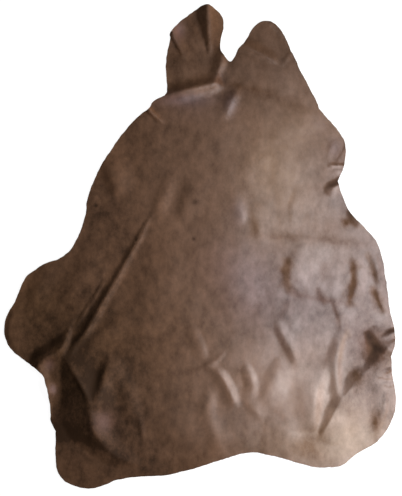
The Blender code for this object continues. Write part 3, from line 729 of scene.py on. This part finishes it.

# %% Streaks: width, changes of the lightness (in some, painted shade and highlights) and of the finish, the line, and change of the warmth
Streak = namedtuple("Streak", "width dye finish line warmth", defaults=(0,))
STREAKS = {
    "old fold across the neck": Streak(13, -0.14, -0.35, (
        (38, 346), (86, 339), (139, 326), (192, 305), (256, 276))),
    "old fold across the back": Streak(11, -0.03, -0.3, ((107, 29), (192, 20), (277, 12), (385, 0))),
    # painted shadow: a dark band where the left lobe's shadow falls
    "painted shadow behind the left lobe": Streak(9, -0.22, -0.1, ((-362, -246), (-322, -216), (-282, -186))),
    "old fold across the loin": Streak(7, 0, -0.25, ((188, -99), (235, -107), (325, -122))),
    # painted shade: darker, warmer, duller streaks on the slopes of the rib and the flank that turn from the
    # light and the sheen
    "painted shade on the rib": Streak(11, -0.02, -0.8, ((190, -20), (184, -60), (192, -102)), 0.5),
    "painted shade beside the crest on the flank": Streak(9, -0.04, -1, (
        (325, -22), (328, -61), (324, -92), (316, -134)), 0.5),
    # darker, warmer and duller streaks along the right rim
    "duller streak on the rim, upper": Streak(7, -0.03, -0.6, ((352, -8), (368, -46), (378, -84)), 0.4),
    "duller streak on the rim, lower": Streak(8, -0.02, -0.9, ((364, -80), (379, -114), (393, -146)), 0.5),
    # painted shade: darker, duller streaks on the loin slopes that turn from the light and the sheen
    "painted shade on the loin, upper": Streak(9, -0.03, -0.5, ((247, -86), (258, -104), (272, -124))),
    "painted shade on the loin, lower": Streak(7, -0.03, -0.4, ((282, -104), (292, -146), (297, -182))),
    "painted shade on the loin, middle": Streak(11, -0.05, -0.45, ((190, -108), (170, -160))),
    "painted shade beside the loin ridge": Streak(9, -0.06, -0.4, ((161, -168), (177, -209), (203, -250))),
    # painted shade below the waist edge and behind the rump curl
    "painted shade below the waist edge": Streak(11, -0.12, -0.5, ((300, 50), (314, 54), (330, 60)), 0.3),
    "painted shade behind the rump curl": Streak(9, -0.15, -0.35, ((80, -254), (94, -279), (94, -314))),
    "streak on the ribs": Streak(8, -0.04, -0.35, ((268, -30), (262, -52), (266, -76))),
    "streak across the loin": Streak(9, -0.03, -0.3, ((186, -94), (214, -102), (236, -104))),
    # painted shadow: a dark band below the belly fold, where its shadow falls
    "painted shadow below the belly": Streak(10, -0.32, -0.3, (
        (-345, -380), (-303, -394), (-262, -401), (-225, -413), (-190, -436), (-152, -462))),
    "fold before the rump": Streak(10, -0.12, -0.12, (
        (-65, -270), (-15, -264), (12, -252), (40, -225), (56, -204))),
    # painted highlight: a bright line on the lit edge of pleat one
    "painted highlight on the edge of pleat one": Streak(2, 0.2, 0.3, ((279, 169), (292, 170), (307, 169))),
    "crest of the tongue": Streak(7, 0.06, -0.2, ((319, -172), (306, -200), (299, -225), (296, -250)), 0.6),
    # painted shade under the flap pocket
    "shade under the flap pocket": Streak(7, -0.25, -0.7, (
        (356, -176), (362, -200), (378, -218), (398, -222))),
    # painted shade: a dark band on the slope of the belly rib that turns from the light
    "painted shade beside the belly rib": Streak(12, -0.34, -0.2, (
        (-205, -242), (-212, -264), (-225, -292), (-238, -326))),
    # painted highlight: a bright line on the lit rim of the shoulder nick
    "rim of the shoulder nick": Streak(4, 0.2, 0.3, ((-114, 299), (-94, 280), (-72, 258))),
    "bright streak behind the loin": Streak(9, 0.05, -0.05, (
        (172, -165), (190, -196), (206, -232), (198, -290), (192, -345), (207, -400))),
    # painted shade on the sides of the shoulder lenses that turn from the light, and a painted highlight on
    # the side that faces it
    "dark line before the shoulder lens": Streak(7, -0.14, 0, ((-106, 58), (-97, 88), (-86, 116))),
    "dark line behind the shoulder lens": Streak(9, -0.12, 0, ((-58, 66), (-46, 98), (-34, 132))),
    "light streak on the shoulder lens": Streak(8, 0.12, 0.1, ((-80, 78), (-68, 108), (-56, 138))),
}
print(len(STREAKS), "streaks")

# %% The sum of the streaks, and the three values stored on the sheet
STREAK_STEP = 10                           # longest straight piece of a streak
RAGGED, RAGGED_SIZE, RAGGED_ROW = 0.7, 13, 4.2   # how ragged its sides are, how finely, and the noise's row


def streak_sum(xy, column):
    """Sum of one column of the streaks at each place. A streak fades at its ends and has ragged sides."""
    total = np.zeros(len(xy))
    ragged = np.array([1 + RAGGED * noise.noise(Vector((x / RAGGED_SIZE, y / RAGGED_SIZE, RAGGED_ROW)))
                       for x, y in xy])
    for streak in STREAKS.values():
        line = smooth_curve([(x, y, 0) for x, y in streak.line], STREAK_STEP)
        distance, _, run, _ = nearest_on_line(line, xy)
        fade = 1 - (2 * run - 1) ** 4
        total += getattr(streak, column) * fade * np.exp(-(distance * ragged / streak.width) ** 2)
    return total


for column in ("dye", "finish", "warmth"):
    values = area_sum(xy, column) + streak_sum(xy, column)
    mesh.attributes.new(column, "FLOAT", "POINT").data.foreach_set("value", values)
    print(column, "changes by", round(values.min(), 2), "to", round(values.max(), 2))

# %% [markdown]
# ## What leather looks like close up
#
# Dye never takes evenly: it soaks deeper where the skin was looser, so the colour is mottled in blotches
# of a few millimetres to a few centimetres, and they run a little along the backbone. The finish dries
# unevenly too, so some patches are glossier. Over that lies the grain, cells about a millimetre wide.
# The grain side, the flesh side and the cut edge all have dye and fibres, in their own amounts, so each
# effect is a node group that is built once and used in each material with its own values.

# %% Helpers that add a node, fill its inputs and start a group


def add_node(tree, kind, values=None, **settings):
    """Adds a shader node. A value is a number, a colour, or another node's output to link from."""
    node = tree.nodes.new(kind)
    for name, setting in settings.items():
        setattr(node, name, setting)
    for socket, value in (values or {}).items():
        if isinstance(value, bpy.types.NodeSocket):
            tree.links.new(value, node.inputs[socket])
        else:
            node.inputs[socket].default_value = value
    return node


def new_group(name, inputs, outputs):
    """An empty node group with float inputs (name: default) and float outputs, and its two end nodes."""
    tree = bpy.data.node_groups.new(name, "ShaderNodeTree")
    for label, default in inputs.items():
        socket = tree.interface.new_socket(label, in_out="INPUT", socket_type="NodeSocketFloat")
        socket.default_value = default
    for label in outputs:
        tree.interface.new_socket(label, in_out="OUTPUT", socket_type="NodeSocketFloat")
    return tree, tree.nodes.new("NodeGroupInput").outputs, tree.nodes.new("NodeGroupOutput").inputs


def math_node(tree, operation, first, second=0.0):
    """The result of a Math node."""
    return add_node(tree, "ShaderNodeMath", {0: first, 1: second}, operation=operation).outputs[0]


print("node helpers:", add_node.__name__, new_group.__name__, math_node.__name__)

# %% The dye's mottling: blotches along the skin, and slow patches of gloss
dye, given, out = new_group("dye mottling",
                            {"Blotches per metre": 50, "Patches per metre": 12, "Stretch": 1.35},
                            ("Blotches", "Patches", "Film"))
place = add_node(dye, "ShaderNodeTexCoord").outputs["Object"]
squeeze = add_node(dye, "ShaderNodeCombineXYZ",
                   {"X": 1, "Y": math_node(dye, "DIVIDE", 1, given["Stretch"]), "Z": 1}).outputs[0]
along = add_node(dye, "ShaderNodeVectorMath", {0: place, 1: squeeze}, operation="MULTIPLY").outputs[0]
apart = add_node(dye, "ShaderNodeVectorMath", {0: along, 1: (5.1, 2.7, 0)}, operation="ADD").outputs[0]
blotches = add_node(dye, "ShaderNodeTexNoise", {"Vector": along, "Scale": given["Blotches per metre"],
                                                "Detail": 5, "Roughness": 0.72})
patches = add_node(dye, "ShaderNodeTexNoise", {"Vector": along, "Scale": given["Patches per metre"],
                                               "Detail": 2, "Roughness": 0.5})
film = add_node(dye, "ShaderNodeTexNoise", {"Vector": apart, "Scale": given["Patches per metre"],
                                            "Detail": 4, "Roughness": 0.62})
for socket, texture in (("Blotches", blotches), ("Patches", patches), ("Film", film)):
    dye.links.new(texture.outputs["Fac"], out[socket])
print("group", dye.name, "has outputs", [socket.name for socket in out if socket.name])

# %% The grain: small raised cells, and the fibres between them
grain, given, out = new_group("leather grain", {"Cells per metre": 700, "Fibres per metre": 260, "Cells": 0.6,
                                               "Creases per metre": 55}, ("Height", "Creases"))
place = add_node(grain, "ShaderNodeTexCoord").outputs["Object"]
cells = add_node(grain, "ShaderNodeTexVoronoi", {"Vector": place, "Scale": given["Cells per metre"]},
                 feature="SMOOTH_F1").outputs["Distance"]
fibres = add_node(grain, "ShaderNodeTexNoise", {"Vector": place, "Scale": given["Fibres per metre"],
                                                "Detail": 3, "Roughness": 0.6}).outputs["Fac"]
height = add_node(grain, "ShaderNodeMix", {"Factor": given["Cells"], "A": fibres,
                                           "B": math_node(grain, "SUBTRACT", 1, cells)}).outputs["Result"]
creases = add_node(grain, "ShaderNodeTexNoise", {"Vector": place, "Scale": given["Creases per metre"],
                                                 "Detail": 2, "Roughness": 0.55}).outputs["Fac"]
grain.links.new(height, out["Height"])
grain.links.new(creases, out["Creases"])
print("group", grain.name, "has outputs", [socket.name for socket in out if socket.name])

# %% [markdown]
# ## The grain side
#
# The top is dyed brown and has a thin glossy finish. Its colour runs from a dark to a light brown as the
# blotches, the patches and the stored areas say, painted shade and highlights included. Two tints make it
# warmer or cooler, partly as the leather's own hue and partly as painted colour of the sheen. The finish is
# the shader's coat, a clear layer over the colour. It lies thicker on the firm right side than on the loose
# left one, and it is thinner where the brown is darker. The roughness follows the gloss patches, and the
# grain is a bump far too fine to model.

# %% Helpers for leather


def place_group(tree, group, **values):
    """Places a node group with values of its own, and gives its outputs."""
    named = {name.replace("_", " "): value for name, value in values.items()}
    return add_node(tree, "ShaderNodeGroup", named, node_tree=group).outputs


def centred(tree, value, gain):
    """How far a noise value lies from its middle, times a gain."""
    return math_node(tree, "MULTIPLY", math_node(tree, "SUBTRACT", value, 0.5), gain)


def skin_value(tree, name):
    """A value stored at each point of the sheet."""
    return add_node(tree, "ShaderNodeAttribute", attribute_name=name).outputs["Fac"]


def dye_and_shade_share(tree, mottling, blotch_gain, patch_gain):
    """How light the colour is, from 0, dark, to 1, light, as the areas, painted shade and highlights
    included, and the mottling say.
    """
    tone = math_node(tree, "ADD", centred(tree, mottling["Blotches"], blotch_gain),
                     centred(tree, mottling["Patches"], patch_gain))
    return math_node(tree, "ADD", math_node(tree, "ADD", tone, skin_value(tree, "dye")), 0.5)


def dyed(tree, share, dark, light):
    """A colour between a dark and a light one."""
    mix = add_node(tree, "ShaderNodeMix", {"Factor": share, "A": dark, "B": light}, data_type="RGBA")
    return mix.outputs[2]


def bumped(tree, height, depth, **under):
    """A normal that leans as the height does, over another normal where one is given."""
    values = {"Height": height, "Distance": depth, "Strength": 1, **under}
    return add_node(tree, "ShaderNodeBump", values).outputs["Normal"]


def tinted(tree, colour, tint, share):
    """A colour multiplied with a tint, as far as a share from 0 to 1 says."""
    return add_node(tree, "ShaderNodeMix", {"Factor": share, "A": colour, "B": tint}, data_type="RGBA",
                    blend_type="MULTIPLY").outputs[2]


def connect(shader, **values):
    """Links each value to the shader's socket of that name."""
    for name, value in values.items():
        shader.id_data.links.new(value, shader.inputs[name.replace("_", " ")])


print("leather helpers:", dye_and_shade_share.__name__, dyed.__name__, tinted.__name__, bumped.__name__)

# %% Grain side: how thick the finish lies across the skin
THIN_FINISH, THICK_FINISH = 0.05, 0.88   # on the loose left side and on the firm right side
LOOSE_TO, FIRM_FROM = -0.20, 0.25        # where one ends and the other starts, from the backbone
grain_side, grain_shader = plain_material("grain side", (0.1, 0.049, 0.0265), 0.5)
tree = grain_side.node_tree
mottling = place_group(tree, dye)
across = add_node(tree, "ShaderNodeSeparateXYZ",
                  {"Vector": add_node(tree, "ShaderNodeTexCoord").outputs["Object"]}).outputs["X"]
polish = add_node(tree, "ShaderNodeMapRange", {"Value": across, "From Min": LOOSE_TO, "From Max": FIRM_FROM,
                                               "To Min": THIN_FINISH, "To Max": THICK_FINISH},
                  interpolation_type="SMOOTHSTEP").outputs["Result"]
print("the finish runs from", THIN_FINISH, "to", THICK_FINISH)

# %% Grain side: colour, gloss and grain
# the tints are partly the leather's own hue and partly the painted colour of the sheen: cool on the loin and
# back, warm on the flap
WARM_TINT, COOL_TINT = (1.0, 0.99, 0.68, 1), (0.96, 1.02, 1.6, 1)
DARK_BROWN = (0.030, 0.0143, 0.0068, 1)
LIGHT_BROWN = (0.170, 0.0845, 0.0455, 1)
BLOTCH_GAIN, BLOTCH_HIDDEN = 1.25, 0.6   # how strong the blotches are, and how much the finish hides
PATCH_GAIN, FILM_GAIN, GLOSS_GAIN = 0.45, 1.1, -0.25
MIDDLE_ROUGHNESS = 0.5
GRAIN_DEPTH, CREASE_DEPTH = 0.00012, 0.0005
uneven = math_node(tree, "SUBTRACT", BLOTCH_GAIN, math_node(tree, "MULTIPLY", polish, BLOTCH_HIDDEN))
share = dye_and_shade_share(tree, mottling, uneven, PATCH_GAIN)
film = math_node(tree, "ADD", centred(tree, mottling["Film"], FILM_GAIN), skin_value(tree, "finish"))
taken = math_node(tree, "ADD", math_node(tree, "ADD", share, share), film)
finish = math_node(tree, "MULTIPLY", polish, taken)
roughness = math_node(tree, "ADD", centred(tree, mottling["Film"], GLOSS_GAIN), MIDDLE_ROUGHNESS)
relief = place_group(tree, grain)
normal = bumped(tree, relief["Height"], GRAIN_DEPTH, Normal=bumped(tree, relief["Creases"], CREASE_DEPTH))
warmth = skin_value(tree, "warmth")
cold = math_node(tree, "MULTIPLY", warmth, -1)
brown = tinted(tree, dyed(tree, share, DARK_BROWN, LIGHT_BROWN), WARM_TINT, warmth)
brown = tinted(tree, brown, COOL_TINT, cold)
connect(grain_shader, Base_Color=brown, Roughness=roughness, Coat_Weight=finish, Normal=normal)
grain_shader.inputs["Specular IOR Level"].default_value = 0.08
grain_shader.inputs["Coat Roughness"].default_value = 0.28
print("the grain side has", len(tree.nodes), "nodes")

# %% [markdown]
# ## The flesh side and the cut edge
#
# The underside is not finished: it is a paler, matt nap of loose fibres, which takes the dye unevenly.
# The cut edge shows the same fibres end on.

# %% Flesh side: a nap of long soft fibres over slow blotches
DARK_NAP, LIGHT_NAP = (0.085, 0.05, 0.031, 1), (0.3, 0.205, 0.14, 1)
NAP_ROUGHNESS = 0.88
NAP_DEPTH, NAP_CREASE_DEPTH = 0.0004, 0.0006
flesh_side, flesh_shader = plain_material("flesh side", (0.19, 0.127, 0.085), 0.9)
tree = flesh_side.node_tree
mottling = place_group(tree, dye, Blotches_per_metre=110, Patches_per_metre=18, Stretch=1.6)
nap = place_group(tree, grain, Cells_per_metre=900, Fibres_per_metre=420, Cells=0.15)
share = math_node(tree, "ADD", dye_and_shade_share(tree, mottling, blotch_gain=0.9, patch_gain=0.7),
                  centred(tree, nap["Height"], gain=0.5))
roughness = math_node(tree, "ADD", centred(tree, mottling["Film"], gain=0.3), NAP_ROUGHNESS)
normal = bumped(tree, nap["Height"], NAP_DEPTH, Normal=bumped(tree, nap["Creases"], NAP_CREASE_DEPTH))
connect(flesh_shader, Base_Color=dyed(tree, share, DARK_NAP, LIGHT_NAP), Roughness=roughness, Normal=normal)
flesh_shader.inputs["Specular IOR Level"].default_value = 0.15
print("the flesh side has", len(tree.nodes), "nodes")

# %% Cut edge: the same fibres end on, with the dye that ran over the side
DARK_CUT, LIGHT_CUT = (0.022, 0.012, 0.0075, 1), (0.115, 0.066, 0.042, 1)
CUT_DEPTH = 0.0002
edge_side, edge_shader = plain_material("cut edge", (0.06, 0.035, 0.022), 0.8)
tree = edge_side.node_tree
mottling = place_group(tree, dye, Blotches_per_metre=140, Patches_per_metre=30, Stretch=1)
ends = place_group(tree, grain, Cells_per_metre=1600, Fibres_per_metre=700, Cells=0.4)
share = math_node(tree, "ADD", dye_and_shade_share(tree, mottling, blotch_gain=1, patch_gain=0.6),
                  centred(tree, ends["Height"], gain=0.4))
connect(edge_shader, Base_Color=dyed(tree, share, DARK_CUT, LIGHT_CUT),
        Normal=bumped(tree, ends["Height"], CUT_DEPTH))
edge_shader.inputs["Specular IOR Level"].default_value = 0.15
for material in (grain_side, flesh_side, edge_side):
    mesh.materials.append(material)
print("materials:", [material.name for material in mesh.materials])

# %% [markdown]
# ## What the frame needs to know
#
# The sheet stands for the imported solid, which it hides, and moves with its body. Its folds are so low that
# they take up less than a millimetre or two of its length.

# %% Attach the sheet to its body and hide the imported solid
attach(hide, "root")
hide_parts(NODE)
print(hide.name, "stands for", NODE)
